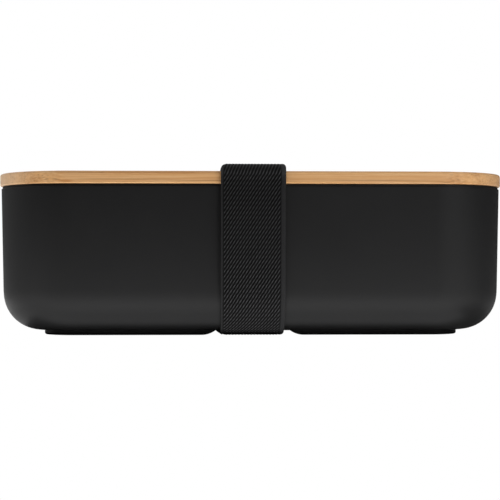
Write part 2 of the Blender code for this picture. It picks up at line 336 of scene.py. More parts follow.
def make_rail(name, side):
    """One soft foot rail with rounded lower edges; its ends curve up off the table."""
    steps = 12
    rings = []
    for i in range(steps + 1):
        z = FOOT_HEIGHT * (i / steps) ** 2
        rise = min(z, RAIL_ROUND)
        inset = RAIL_ROUND - math.sqrt(RAIL_ROUND**2 - (RAIL_ROUND - rise) ** 2)
        rings.append(rail_ring(side, z, rail_end_x(z), -inset))
    rings.append(rail_ring(side, FOOT_HEIGHT + RAIL_RECESS - GAP, rail_end_x(FOOT_HEIGHT), 0.0))
    return loft(name, rings, sharp_angle=50.0)


def make_rail_recess(side):
    """The cutter for the channel under the tub that a rail sits in."""
    end_x = rail_end_x(FOOT_HEIGHT) - RECESS_CLEARANCE
    heights = (FOOT_HEIGHT / 2, FOOT_HEIGHT + RAIL_RECESS)
    return loft(f"recess_{side}", [rail_ring(side, z, end_x, RECESS_CLEARANCE) for z in heights])


def make_rib(side_x, side_y):
    """One of the four ribs that hold the divider's ends, rounded, with its back buried in the wall."""
    low_x = DIVIDER_HIGH.x + GAP if side_x > 0 else DIVIDER_LOW.x - GAP - RIB_WIDTH
    buried_top_y = HALF_Y - RIM_INSET - 0.7 * WALL
    buried_low_y = HALF_Y - LOW_INSET - 0.5 * WALL
    outline = [
        (RIB_FACE_Y, RIB_TOP_Z),
        (buried_top_y, RIB_TOP_Z),
        (buried_low_y, FOOT_HEIGHT + BOTTOM_RADIUS),
        (RIB_FACE_Y + WALL / 2, RIB_FOOT_Z),
        (RIB_FACE_Y, RIB_FOOT_Z),
    ]
    outline = [(side_y * y, z) for y, z in outline]
    rib = plate(f"rib_{side_x}_{side_y}", outline, low_x, low_x + RIB_WIDTH)
    return round_edges(rib, RIB_ROUND)


def make_gate_mark():
    """The cutter for the shallow round dimple that the mould's gate leaves in the underside."""
    rings = []
    for radius, z in GATE_PROFILE:
        circle = arc((GATE_X, 0), radius * MM, 0, 360, 40)[:-1]
        rings.append(np.column_stack((circle, np.full(len(circle), FOOT_HEIGHT + z * MM))))
    return loft("gate_mark", rings, closed=True)


def make_tub():
    """The moulded tub, with the rails' recesses, the gate mark and the divider's ribs."""
    tub = loft("tub", [plan_ring(inset, z) for inset, z in tub_profile()])
    for side in (-1, 1):
        cut_or_join(tub, make_rail_recess(side), "DIFFERENCE")
    cut_or_join(tub, make_gate_mark(), "DIFFERENCE")
    for side_x in (-1, 1):
        for side_y in (-1, 1):
            cut_or_join(tub, make_rib(side_x, side_y), "UNION")
    return even_shading(tub)


# ---------------------------------------------------------------- lid, seal and divider


def lid_profile():
    """The board's edge as (inset, z), from the underside of its plug to its top."""
    groove_low = SEAL_LOW.z - GAP
    groove_high = SEAL_HIGH.z + GAP
    plug = [
        *arc((PLUG_INSET + PLUG_ROUND, PLUG_Z + PLUG_ROUND), PLUG_ROUND, 270, 180, 4),
        (PLUG_INSET, groove_low),
        (PLUG_INSET + GROOVE_DEPTH, groove_low),
        (PLUG_INSET + GROOVE_DEPTH, groove_high),
        (PLUG_INSET, groove_high),
        (PLUG_INSET, FLANGE_Z + UNDER_LIFT),
    ]
    under = arc((UNDER_ROUND, FLANGE_Z + UNDER_LIFT + UNDER_ROUND), UNDER_ROUND, 270, 180, 5)
    upper = arc((TOP_ROUND, TOP_Z - TOP_ROUND), TOP_ROUND, 180, 90, 7)
    return np.vstack((plug, under, upper))


def cut_slice(bm, y, keep_side):
    """Cut the board across at y, keep one side, close the cut and break its edges slightly."""
    cut = bmesh.ops.bisect_plane(
        bm,
        geom=bm.verts[:] + bm.edges[:] + bm.faces[:],
        plane_co=(0, y, 0),
        plane_no=(0, -keep_side, 0),
        clear_outer=True,
    )
    edges = [item for item in cut["geom_cut"] if isinstance(item, bmesh.types.BMEdge)]
    filled = bmesh.ops.edgeloop_fill(bm, edges=edges)
    rim = list({edge for face in filled["faces"] for edge in face.edges})
    bmesh.ops.bevel(
        bm,
        geom=rim,
        offset=SEAM_BEVEL,
        segments=2,
        profile=0.5,
        affect="EDGES",
        clamp_overlap=True,
    )


def make_strip(number, mesh):
    """One strip sawn out of the milled board."""
    low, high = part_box(f"lid_strip_{number}")
    bm = bmesh.new()
    bm.from_mesh(mesh)
    half_gap = (GAP - GLUE_LINE) / 2
    if number > 1:
        cut_slice(bm, low.y - half_gap, 1)
    if number < len(STRIP_NODES):
        cut_slice(bm, high.y + half_gap, -1)
    bmesh.ops.recalc_face_normals(bm, faces=bm.faces)
    made = bpy.data.meshes.new(f"bamboo_strip_{number}")
    bm.to_mesh(made)
    bm.free()
    return even_shading(add_object(f"bamboo_strip_{number}", made), 30.0)


def make_strips():
    """The lid's board, milled as one and then sawn into its strips."""
    board = loft("board", [plan_ring(inset, z) for inset, z in lid_profile()])
    strips = [make_strip(number, board.data) for number in range(1, len(STRIP_NODES) + 1)]
    bpy.data.objects.remove(board, do_unlink=True)
    return strips


def make_seal():
    """The silicone ring: a rounded bead in the groove and a thin lip that leans out and up."""
    back = PLUG_INSET + GROOVE_DEPTH - GAP
    face = PLUG_INSET - 2 * GAP
    tip = HALF_X - SEAL_HIGH.x
    middle = (SEAL_LOW.z + SEAL_HIGH.z) / 2
    low = SEAL_LOW.z + BEAD_ROUND
    high = SEAL_HIGH.z - BEAD_ROUND
    section = [
        *arc((back - BEAD_ROUND, low), BEAD_ROUND, 0, -90, 4),
        *arc((face + BEAD_ROUND, low), BEAD_ROUND, 270, 200, 3),
        *arc((tip + LIP_ROUND, middle + LIP_ROUND), LIP_ROUND, 240, 80, 6),
        (face, middle + BEAD_ROUND),
        *arc((face + BEAD_ROUND, high), BEAD_ROUND, 170, 90, 3),
        *arc((back - BEAD_ROUND, high), BEAD_ROUND, 90, 0, 4),
    ]
    rings = [plan_ring(inset, z) for inset, z in section]
    return loft("silicone_seal", rings, closed=True, sharp_angle=60.0)


def make_divider():
    """The lift-out partition: rounded to the tub's bottom, with a finger notch in its top edge."""
    inner_radius = BOTTOM_RADIUS - WALL
    corner = (HALF_Y - LOW_INSET - BOTTOM_RADIUS, FOOT_HEIGHT + FLOOR_THICKNESS + inner_radius)
    top_z = DIVIDER_HIGH.z
    top_corner = (tub_inner_y(top_z) - GAP - DIVIDER_CORNER, top_z - DIVIDER_CORNER)
    share = np.linspace(0, 1, NOTCH_STEPS + 1)[1:]
    dip = NOTCH_DEPTH * (1 - np.cos(np.pi * share)) / 2
    notch = np.column_stack((NOTCH_HALF_WIDTH * (1 - share), top_z - dip))
    half = np.vstack((
        arc(corner, inner_radius - GAP, 270, 360, 20),
        arc(top_corner, DIVIDER_CORNER, 0, 90, 8),
        [(NOTCH_HALF_WIDTH, top_z)],
        notch,
    ))
    outline = np.vstack((half, half[-2::-1] * np.array((-1, 1))))
    divider = plate("partition", outline, DIVIDER_LOW.x, DIVIDER_HIGH.x)
    return even_shading(round_edges(divider, DIVIDER_ROUND, segments=4, angle=60.0), 50.0)


# ---------------------------------------------------------------- strap

STRAP_X = (STRAP_LOW.x + STRAP_HIGH.x) / 2
STRAP_WIDTH = STRAP_HIGH.x - STRAP_LOW.x
STRAP_THICKNESS = 1.4 * MM
LAP_TOP_Z = 37.0 * MM
LAP_BOTTOM_Z = 19.0 * MM
LAP_RAMP = 5.0 * MM
RAMP_STEPS = 15

# Weave: one twill cell's size, and the mesh that carries it
CELL_WIDTH = 1.19 * MM
CELL_LENGTH = 1.82 * MM
ROWS_PER_CELL = 5
COLUMNS_PER_CELL = 4
BACK_COLUMNS = 6
TWILL_FADE = 30.0 * MM  # the mesh rows turn into the twill's slant over this length from each end
RIDGE_HEIGHT = 0.34 * MM
RIDGE_FULLNESS = 0.8  # under 1, a ridge is broader than the gap beside it
CELL_DIP = 0.38  # how much lower a ridge is between two cells
PLAIN_LEVEL = 0.64
PLAIN_RIBBING = 0.14
LEFT_SELVEDGE = 0.9 * MM
RIGHT_SELVEDGE = 1.9 * MM
EDGE_ROUND = 1.7 * MM  # width of the band's rounded edge
EDGE_COLUMN = 0.06 * MM  # the first mesh column in from each edge

# How the strap stands off the box
ROUTE_STEP = 0.05 * MM
ROUTE_SPAN = 0.8 * MM  # the taut line's corners are averaged over this length
NORMAL_SPAN = 0.6 * MM
BEND_LIFT = 1.1 * MM
LIFT_BEND = (5.0 * MM, -4.0 * MM, 1.0 * MM)  # width, and the heights from the lid's top it grows between
ROLL_BEND = (4.0 * MM, -2.5 * MM, 0.5 * MM)
FRONT_SLACK = 0.7 * MM
SLACK_Y = (52.0 * MM, 60.0 * MM)
SLACK_LOW_Z = (6.0 * MM, 22.0 * MM)
SLACK_HIGH_Z = (46.0 * MM, 58.0 * MM)
UNDER_DRIFT = -1.3 * MM  # how far the strap wanders sideways under the box
DRIFT_Y = (20.0 * MM, 52.0 * MM)
DRIFT_Z = (1.0 * MM, 9.0 * MM)
SPREAD = 0.2 * MM  # the right edge's outward lean over the lid
LEFT_CURL = (1.3 * MM, 2.4 * MM)  # how deep an edge rolls down over the lid's edge, and from how far in
RIGHT_CURL = (0.5 * MM, 1.3 * MM)

# Sewing on the lap
STITCHES = 15
STEPS_PER_STITCH = 14
STITCH_SWING = 1.0 * MM
NEEDLE_DEPTH = 0.22 * MM
STITCH_RISE = 0.42 * MM
THREAD_RADIUS = 0.2 * MM
THREAD_SIDES = 18
THREAD_PLIES = 3
PLY_RELIEF = 0.14
PLY_TWIST = 2.2  # radians for each stitch


def cross(origin, a, b):
    return (a[0] - origin[0]) * (b[1] - origin[1]) - (a[1] - origin[1]) * (b[0] - origin[0])


def convex_hull(points):
    """The taut loop round a set of points, counter-clockwise."""
    def chain(ordered):
        hull = []
        for point in ordered:
            while len(hull) > 1 and cross(hull[-2], hull[-1], point) <= 0:
                hull.pop()
            hull.append(point)
        return hull[:-1]

    ordered = sorted(points)
    return chain(ordered) + chain(ordered[::-1])


def back_line(z, offset):
    """Y at which webbing lies on the box's straight back, a distance off it."""
    low_z = FOOT_HEIGHT + BOTTOM_RADIUS
    share = (z - low_z) / (FLANGE_Z + UNDER_ROUND - low_z)
    return HALF_Y - LOW_INSET + LOW_INSET * share + offset


def strap_line():
    """The webbing's taut middle line in Y and Z: inner end, down the back, round the box, over itself."""
    offset = GAP + STRAP_THICKNESS / 2
    points = []
    edges = (
        (TOP_ROUND, TOP_Z - TOP_ROUND, TOP_ROUND),
        (UNDER_ROUND, FLANGE_Z + UNDER_ROUND, UNDER_ROUND),
        (LOW_INSET + BOTTOM_RADIUS, FOOT_HEIGHT + BOTTOM_RADIUS, BOTTOM_RADIUS),
    )
    for inset, z, radius in edges:
        for side in (-1, 1):
            circle = arc((side * (HALF_Y - inset), z), radius + offset, 0, 360, 96)
            points += circle[:-1].round(8).tolist()
    loop = convex_hull(points)[::-1]
    below_lap = [y > 0 and z < LAP_BOTTOM_Z for y, z in loop]
    first = max(range(len(loop)), key=lambda i: below_lap[i] * loop[i][1])
    inner_end = [(back_line(z, offset), z) for z in (LAP_TOP_Z, LAP_BOTTOM_Z)]
    ramp_share = np.linspace(0, 1, RAMP_STEPS + 1)
    ramp_z = LAP_TOP_Z + GAP + LAP_RAMP * (1 - ramp_share)
    layer = (STRAP_THICKNESS + GAP) * (1 - np.cos(np.pi * ramp_share)) / 2
    ramp = list(zip(back_line(ramp_z, offset) + layer, ramp_z))
    outer_end = [(back_line(LAP_BOTTOM_Z, offset) + layer[-1], LAP_BOTTOM_Z)]
    return np.array(inner_end + loop[first:] + loop[:first] + ramp + outer_end)


def over_edges(y, z, width, low, high):
    """Near 1 where the strap bends over the lid's long edges, and 0 away from them."""
    return (bell(y, -HALF_Y, width) + bell(y, HALF_Y, width)) * ease(z, TOP_Z + low, TOP_Z + high)


def strap_lift(y, z):
    """How far the strap stands off its taut line: where it bends over the lid, and slack in front."""
    slack = ease(-y, *SLACK_Y) * ease(z, *SLACK_LOW_Z) * (1 - ease(z, *SLACK_HIGH_Z))
    return BEND_LIFT * over_edges(y, z, *LIFT_BEND) + FRONT_SLACK * slack


def strap_drift(y, z):
    """How far the strap is off its straight line along X; only under the box."""
    return UNDER_DRIFT * (1 - ease(z, *DRIFT_Z)) * (1 - ease(np.abs(y), *DRIFT_Y))


class Route:
    """The strap's middle line as smooth functions of the distance along it."""

    def __init__(self):
        line = strap_line()
        length = lengths_along(line)
        self.total = length[-1]
        self.at = np.arange(0, self.total + ROUTE_STEP, ROUTE_STEP)
        y = smooth(np.interp(self.at, length, line[:, 0]), ROUTE_SPAN, ROUTE_STEP)
        z = smooth(np.interp(self.at, length, line[:, 1]), ROUTE_SPAN, ROUTE_STEP)
        step_y = np.gradient(y)
        step_z = np.gradient(z)
        size = np.hypot(step_y, step_z)
        self.normal_y = smooth(step_z / size, NORMAL_SPAN, ROUTE_STEP)
        self.normal_z = smooth(-step_y / size, NORMAL_SPAN, ROUTE_STEP)
        outward = self.normal_y * y + self.normal_z * (z - TOP_Z / 2)
        if np.interp(self.total / 2, self.at, outward) < 0:
            self.normal_y = -self.normal_y
            self.normal_z = -self.normal_z
        lift = strap_lift(y, z)
        self.y = y + self.normal_y * lift
        self.z = z + self.normal_z * lift
        self.bend = over_edges(y, z, *ROLL_BEND)
        self.drift = strap_drift(y, z)

    def sample(self, distance):
        distance = np.clip(distance, 0, self.total)
        curves = (self.y, self.z, self.normal_y, self.normal_z, self.drift, self.bend)
        return [np.interp(distance, self.at, curve) for curve in curves]


def wave(turns):
    """A cosine between 0 and 1, with its crests at whole turns."""
    return 0.5 + 0.5 * np.cos(2 * np.pi * turns)


def weave_relief(across, along):
    """Height of the webbing's face, 0 to 1, and where its twill is: 1 inside, 0 on the selvedges."""
    cell = across / CELL_WIDTH
    ridge = wave(along / CELL_LENGTH - cell) ** RIDGE_FULLNESS
    field = ridge * (1 - CELL_DIP + CELL_DIP * wave(cell))
    plain = PLAIN_LEVEL + PLAIN_RIBBING * np.cos(2 * np.pi * along / (0.5 * CELL_LENGTH))
    left = across + STRAP_WIDTH / 2
    right = STRAP_WIDTH / 2 - across
    left_groove = 0.95 * bell(left, LEFT_SELVEDGE + 0.25 * MM, 0.3 * MM)
    right_groove = 0.5 * bell(right, RIGHT_SELVEDGE, 0.2 * MM)
    inside = ease(left, LEFT_SELVEDGE, LEFT_SELVEDGE + 0.3 * MM)
    inside = inside * ease(right, RIGHT_SELVEDGE - 0.1 * MM, RIGHT_SELVEDGE + 0.2 * MM)
    relief = (plain + (field - plain) * inside) * (1 - left_groove - right_groove)
    return relief, inside


def edge_roll(across, depth, radius):
    """How far one edge of the band rolls down, along a quarter circle that ends at the edge."""
    share = np.clip((across - (STRAP_WIDTH / 2 - radius)) / radius, 0, 0.985)
    return depth * (1 - np.sqrt(1 - share * share))


def half_thickness(across):
    """The band's half thickness across its width, rounded off at both edges."""
    share = np.clip((np.abs(across) - (STRAP_WIDTH / 2 - EDGE_ROUND)) / EDGE_ROUND, 0, 1)
    return STRAP_THICKNESS / 2 * np.sqrt(np.maximum(1 - share**2.6, 0))


def strap_columns():
    """Where the mesh columns lie across the band, and their side of it: 1 outer face, -1 inner face."""
    half = STRAP_WIDTH / 2
    step = CELL_WIDTH / COLUMNS_PER_CELL
    count = int(half / step)
    inner = np.arange(-count, count + 1) * step
    face = np.concatenate(([-half, EDGE_COLUMN - half], inner[1:-1], [half - EDGE_COLUMN, half]))
    back = half * np.cos(np.linspace(0, np.pi, BACK_COLUMNS + 2)[1:-1])
    side = np.concatenate((np.ones(len(face)), -np.ones(len(back))))
    return np.concatenate((face, back)), side


def strap_distances(total, across):
    """Distance along the strap of each mesh point; the rows slant with the twill, except at its ends."""
    start = np.linspace(0, total, int(total / CELL_LENGTH * ROWS_PER_CELL))
    slant = CELL_LENGTH / CELL_WIDTH * ease(start, 0, TWILL_FADE) * ease(total - start, 0, TWILL_FADE)
    return start[:, None] + slant[:, None] * across[None, :]


def add_layer(mesh, name, kind, field, values):
    """Keep a value for each mesh point, for the material to read."""
    layer = mesh.attributes.new(name, kind, "POINT")
    layer.data.foreach_set(field, values.astype(np.float32).ravel())


def make_strap():
    """The webbing as one closed band; its mesh rows run along the twill so that the ridges stay crisp."""
    route = Route()
    across, side = strap_columns()
    along = strap_distances(route.total, across)
    across = np.broadcast_to(across, along.shape)
    relief, inside = weave_relief(across, along)
    y, z, normal_y, normal_z, drift, bend = route.sample(along)
    tight = np.clip(bend, 0, 1)
    half = half_thickness(across)
    ridge = RIDGE_HEIGHT * np.sqrt(half / (STRAP_THICKNESS / 2)) * (1 - 0.65 * tight)
    out = half * side + np.where(side > 0, (relief - 1) * ridge, 0)
    out = out - (edge_roll(-across, *LEFT_CURL) + edge_roll(across, *RIGHT_CURL)) * bend
    spread = SPREAD * ease(across, 0, STRAP_WIDTH / 2) * ease(z, FLANGE_Z - 1.5 * MM, FLANGE_Z + 0.5 * MM)
    x = STRAP_X + across + drift + spread
    points = np.stack((x, y + normal_y * out, z + normal_z * out), axis=-1)
    mesh = bpy.data.meshes.new("elastic_strap")
    mesh.from_pydata(points.reshape(-1, 3).tolist(), [], loft_faces(*along.shape, False))
    # The tone that colours the band follows the weave's height, painting shade into its gaps and light onto
    # its crests; where the band bends over the lid's edges it is raised towards 0.95 and the twill fades, a
    # painted highlight on the bend
    tone = np.where(side > 0, relief + (0.95 - relief) * 0.7 * tight, 0.5)
    weave = np.stack((across / CELL_WIDTH, along / CELL_LENGTH, inside * (1 - 0.6 * tight)), axis=-1)
    add_layer(mesh, "relief", "FLOAT", "value", tone)
    add_layer(mesh, "weave", "FLOAT_VECTOR", "vector", weave)
    face_outward(mesh)
    return add_object("elastic_strap", mesh, 80.0)


def make_stitch_row(number):
    """A zigzag of plied thread through the lap, dipping into the webbing at each needle hole."""
    low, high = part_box(f"strap_stitch_row_{number}")
    share = np.linspace(0, STITCHES, STITCHES * STEPS_PER_STITCH + 1)
    x = low.x + (high.x - low.x) * share / STITCHES
    z = (low.z + high.z) / 2 + STITCH_SWING * (np.abs((share % 2) - 1) - 0.5)
    surface = back_line(z, GAP) + 2 * STRAP_THICKNESS + GAP
    y = surface - NEEDLE_DEPTH + STITCH_RISE * np.abs(np.sin(np.pi * share)) ** 0.6
    center = np.column_stack((x, y, z))
    tangent = np.gradient(center, axis=0)
    tangent /= np.linalg.norm(tangent, axis=1)[:, None]
    side = np.cross(tangent, np.array((0.0, 1.0, 0.0)))
    side /= np.linalg.norm(side, axis=1)[:, None]
    up = np.cross(side, tangent)
    angles = np.radians(np.arange(THREAD_SIDES) * 360 / THREAD_SIDES)
    rings = []
    for i, turned in enumerate(share * PLY_TWIST):
        radius = THREAD_RADIUS * (1 + PLY_RELIEF * np.cos(THREAD_PLIES * (angles - turned)))
        outward = np.outer(np.cos(angles), side[i]) + np.outer(np.sin(angles), up[i])
        rings.append(center[i] + radius[:, None] * outward)
    return loft(f"stitching_{number}", rings, sharp_angle=70.0)


# ---------------------------------------------------------------- materials


PER_MM = (1 / MM, 1 / MM, 1 / MM)


class Shader:
    """A small helper to wire a Principled material out of nodes."""

    def __init__(self, name):
        self.material = bpy.data.materials.new(name)
        self.material.use_nodes = True
        self.tree = self.material.node_tree
        self.principled = self.tree.nodes["Principled BSDF"]

    def node(self, kind, inputs=None, **settings):
        made = self.tree.nodes.new(kind)
        for key, value in settings.items():
            setattr(made, key, value)
        for key, value in (inputs or {}).items():
            self.plug(made.inputs[key], value)
        return made

    def plug(self, socket, value):
        if isinstance(value, bpy.types.NodeSocket):
            self.tree.links.new(value, socket)
        else:
            socket.default_value = value

    def set(self, **values):
        """Set the Principled shader's inputs, their names written with underscores."""
        for key, value in values.items():
            self.plug(self.principled.inputs[key.replace("_", " ")], value)

    def place(self, scale=PER_MM, shift=(0, 0, 0)):
        """The place on the object, scaled and shifted along each axis; in millimetres if not told."""
        place = self.node("ShaderNodeTexCoord").outputs["Object"]
        mapped = self.node("ShaderNodeMapping", {"Vector": place, "Scale": scale, "Location": shift})
        return mapped.outputs["Vector"]

    def noise(self, place, scale, detail=3.0, roughness=0.5, distortion=0.0):
        made = self.node("ShaderNodeTexNoise", {
            "Vector": place,
            "Scale": scale,
            "Detail": detail,
            "Roughness": roughness,
            "Distortion": distortion,
        })
        return made.outputs["Fac"]

    def math(self, operation, a, b=0.5, clamp=False):
        made = self.node("ShaderNodeMath", {0: a, 1: b}, operation=operation, use_clamp=clamp)
        return made.outputs["Value"]

    def remap(self, value, low, high, to_low=0.0, to_high=1.0):
        made = self.node("ShaderNodeMapRange", {
            "Value": value, "From Min": low, "From Max": high, "To Min": to_low, "To Max": to_high,
        })
        return made.outputs["Result"]

    def wave(self, turns):
        """A cosine between 0 and 1, with its crests at whole turns."""
        angle = self.math("MULTIPLY", turns, 2 * math.pi)
        return self.remap(self.math("COSINE", angle), -1.0, 1.0)

    def ramp(self, value, stops):
        made = self.node("ShaderNodeValToRGB", {"Fac": value})
        elements = made.color_ramp.elements
        while len(elements) < len(stops):
            elements.new(0.5)
        for element, (place, color) in zip(elements, stops):
            element.position = place
            element.color = (*color, 1.0)
        return made.outputs["Color"]

    def mix(self, factor, a, b, blend="MIX"):
        made = self.node("ShaderNodeMix", data_type="RGBA", blend_type=blend)
        self.plug(made.inputs[0], factor)
        self.plug(made.inputs[6], a)
        self.plug(made.inputs[7], b)
        return made.outputs[2]

    def bump(self, height, strength, distance):
        made = self.node("ShaderNodeBump", {"Height": height, "Strength": strength, "Distance": distance})
        self.set(Normal=made.outputs["Normal"])


# Bamboo: pale fibres, the deep tone between them, bright streaks, the bundles' dots, a joint's line and
# halo, a painted highlight on the left end, painted shade on the right end, and the stain of a knot
PALE_FIBRE = (0.795, 0.44, 0.178)
DEEP_FIBRE = (0.595, 0.278, 0.093)
BRIGHT_STREAK = (0.86, 0.56, 0.29)
BUNDLE_DOT = (0.36, 0.165, 0.055)
JOINT_LINE = (0.46, 0.17, 0.04)
JOINT_HALO = (0.74, 0.42, 0.16)
PAINTED_HIGHLIGHT_LEFT_END = (0.84, 0.62, 0.42)
PAINTED_SHADE_RIGHT_END = (0.52, 0.32, 0.18)
KNOT_STAIN = (0.56, 0.22, 0.05)
KNOT_PLACE = (-70.0 * MM, -HALF_Y, FLANGE_Z + 1.0 * MM)
KNOT_SIZE = (3.6 * MM, 2.5 * MM, 0.6 * MM)
# Each strip's brightness, and where along it a joint of the cane shows
BAMBOO_TONES = (1.0, 0.92, 1.03, 0.88, 1.0, 0.94, 1.05)
BAMBOO_JOINTS = ((0.142,), (-0.031,), (0.052,), (-0.072,), (0.021,), (-0.048, 0.088), (0.064,))
# Webbing colour by the weave's height: painted shade in the gaps between the floats, their flanks, and a
# painted highlight on their crests
WEBBING_PAINTED_LIGHT_RAMP = (
    (0.0, (0.0012, 0.0012, 0.0012)),
    (0.35, (0.0075, 0.0075, 0.0077)),
    (0.95, (0.055, 0.055, 0.057)),
)
FILAMENTS_PER_FLOAT = 4.0


def shell_material():
    """Matte black polypropylene with the fine even grain of a spark-eroded mould."""
    shader = Shader("matte_black_shell")
    place = shader.place()
    grain = shader.noise(place, 2.6, detail=4.0, roughness=0.6)
    cloud = shader.noise(place, 0.035, detail=2.0)
    tint = shader.remap(cloud, 0.3, 0.7)
    color = shader.mix(tint, (0.0053, 0.0053, 0.0055, 1), (0.0067, 0.0067, 0.0069, 1))
    speck = shader.remap(grain, 0.35, 0.65, 0.9, 1.1)
    speck = shader.node("ShaderNodeCombineColor", {0: speck, 1: speck, 2: speck}).outputs[0]
    color = shader.mix(1.0, color, speck, "MULTIPLY")
    shader.set(Base_Color=color, Roughness=shader.remap(grain, 0.3, 0.7, 0.50, 0.60))
    shader.set(Specular_IOR_Level=0.25)
    shader.bump(grain, 0.25, 0.03 * MM)
    return shader.material


def rubber_material():
    """Soft black rubber of the foot rails: as dark as the shell, a little dusty."""
    shader = Shader("foot_rubber")
    place = shader.place()
    dust = shader.remap(shader.noise(place, 0.25, detail=5.0, roughness=0.65), 0.45, 0.75)
    color = shader.mix(dust, (0.004, 0.004, 0.004, 1), (0.008, 0.008, 0.008, 1))
    shader.set(Base_Color=color, Roughness=shader.remap(dust, 0, 1, 0.5, 0.62), Specular_IOR_Level=0.3)
    shader.bump(shader.noise(place, 5.0), 0.2, 0.02 * MM)
    return shader.material


def silicone_material():
    """Milky food-grade silicone."""
    shader = Shader("milky_silicone")
    place = shader.place()
    haze = shader.noise(place, 0.6, detail=4.0)
    color = shader.mix(haze, (0.70, 0.71, 0.70, 1), (0.80, 0.80, 0.78, 1))
    shader.set(Base_Color=color, Roughness=shader.remap(haze, 0.3, 0.7, 0.32, 0.45))
    shader.set(Subsurface_Weight=0.25, Subsurface_Radius=(0.003, 0.003, 0.003), Subsurface_Scale=0.5)
    shader.bump(shader.noise(place, 3.0), 0.1, 0.02 * MM)
    return shader.material


def tinted(color, tone=1.0):
    """A colour made brighter or darker, with its alpha."""
    return (*(tone * part for part in color), 1.0)


def joint_marks(shader, color, broad, x, joint):
    """The cane's joint at one place along a strip: a soft halo with a broken dark line in it."""
    away = shader.math("ABSOLUTE", shader.math("SUBTRACT", x, joint))
    halo = shader.remap(away, 1.2 * MM, 6.0 * MM, 0.28, 0.0)
    color = shader.mix(halo, color, tinted(JOINT_HALO))
    line = shader.remap(away, 0.1 * MM, 0.9 * MM, 0.7, 0.0)
    line = shader.math("MULTIPLY", line, shader.remap(broad, 0.35, 0.6, 0.25, 1.0))
    return shader.mix(line, color, tinted(JOINT_LINE))


def knot_stain(shader, color):
    """A small brown stain, drawn out along the grain, on the front edge."""
    scale = [1 / size for size in KNOT_SIZE]
    shift = [-place / size for place, size in zip(KNOT_PLACE, KNOT_SIZE)]
    away = shader.node("ShaderNodeVectorMath", {0: shader.place(scale, shift)}, operation="LENGTH")
    stain = shader.remap(away.outputs["Value"], 0.4, 1.1, 0.75, 0.0)
    return shader.mix(stain, color, tinted(KNOT_STAIN))


def bamboo_material(number):
    """One strip of oiled bamboo: straight fibres and bundles along X, dots on its end grain, joints, a
    painted highlight towards its left end and painted shade towards its right end.
    """
    shader = Shader(f"bamboo_{number}")
    tone = BAMBOO_TONES[number - 1]
    shift = (3.7 * number, 5.3 * number, 2.9 * number)
    fibres = shader.place((14, 1000, 1000), shift)
    broad = shader.noise(fibres, 0.34, roughness=0.6)
    fine = shader.noise(fibres, 1.7, detail=5.0, roughness=0.7, distortion=0.1)
    bundles = shader.node("ShaderNodeTexVoronoi", {
        "Vector": shader.place((9, 1000, 1000), shift),
        "Scale": 1.35,
        "Randomness": 0.9,
    })
    dots = shader.remap(bundles.outputs["Distance"], 0.14, 0.34, 1.0, 0.0)
    streak = shader.math("MULTIPLY", shader.remap(fine, 0.44, 0.64), 0.6)
    color = shader.mix(shader.remap(broad, 0.38, 0.62), tinted(DEEP_FIBRE, tone), tinted(PALE_FIBRE, tone))
    color = shader.mix(streak, color, tinted(BRIGHT_STREAK, tone))
    color = shader.mix(shader.math("MULTIPLY", dots, 0.62), color, tinted(BUNDLE_DOT))
    wobble = shader.noise(shader.place((300, 300, 300), shift), 1.0, detail=4.0)
    place = shader.node("ShaderNodeTexCoord").outputs["Object"]
    x = shader.node("ShaderNodeSeparateXYZ", {0: place}).outputs["X"]
    x = shader.math("ADD", x, shader.math("MULTIPLY", wobble, 4.0 * MM))
    for joint in BAMBOO_JOINTS[number - 1]:
        color = joint_marks(shader, color, broad, x, joint)
    # Painted highlight and painted shade: the colour turns paler towards the left end and darker towards the
    # right end
    color = shader.mix(shader.remap(x, -80 * MM, -98 * MM, 0.0, 0.8), color, tinted(PAINTED_HIGHLIGHT_LEFT_END))
    color = shader.mix(shader.remap(x, 84 * MM, 99 * MM, 0.0, 0.55), color, tinted(PAINTED_SHADE_RIGHT_END))
    if number == 1:
        color = knot_stain(shader, color)
    shader.set(Base_Color=color, Roughness=shader.remap(fine, 0.3, 0.7, 0.48, 0.62))
    shader.set(Specular_IOR_Level=0.45)
    height = shader.math("SUBTRACT", shader.math("MULTIPLY", fine, 0.6), shader.math("MULTIPLY", dots, 0.4))
    shader.bump(height, 0.35, 0.06 * MM)
    return shader.material


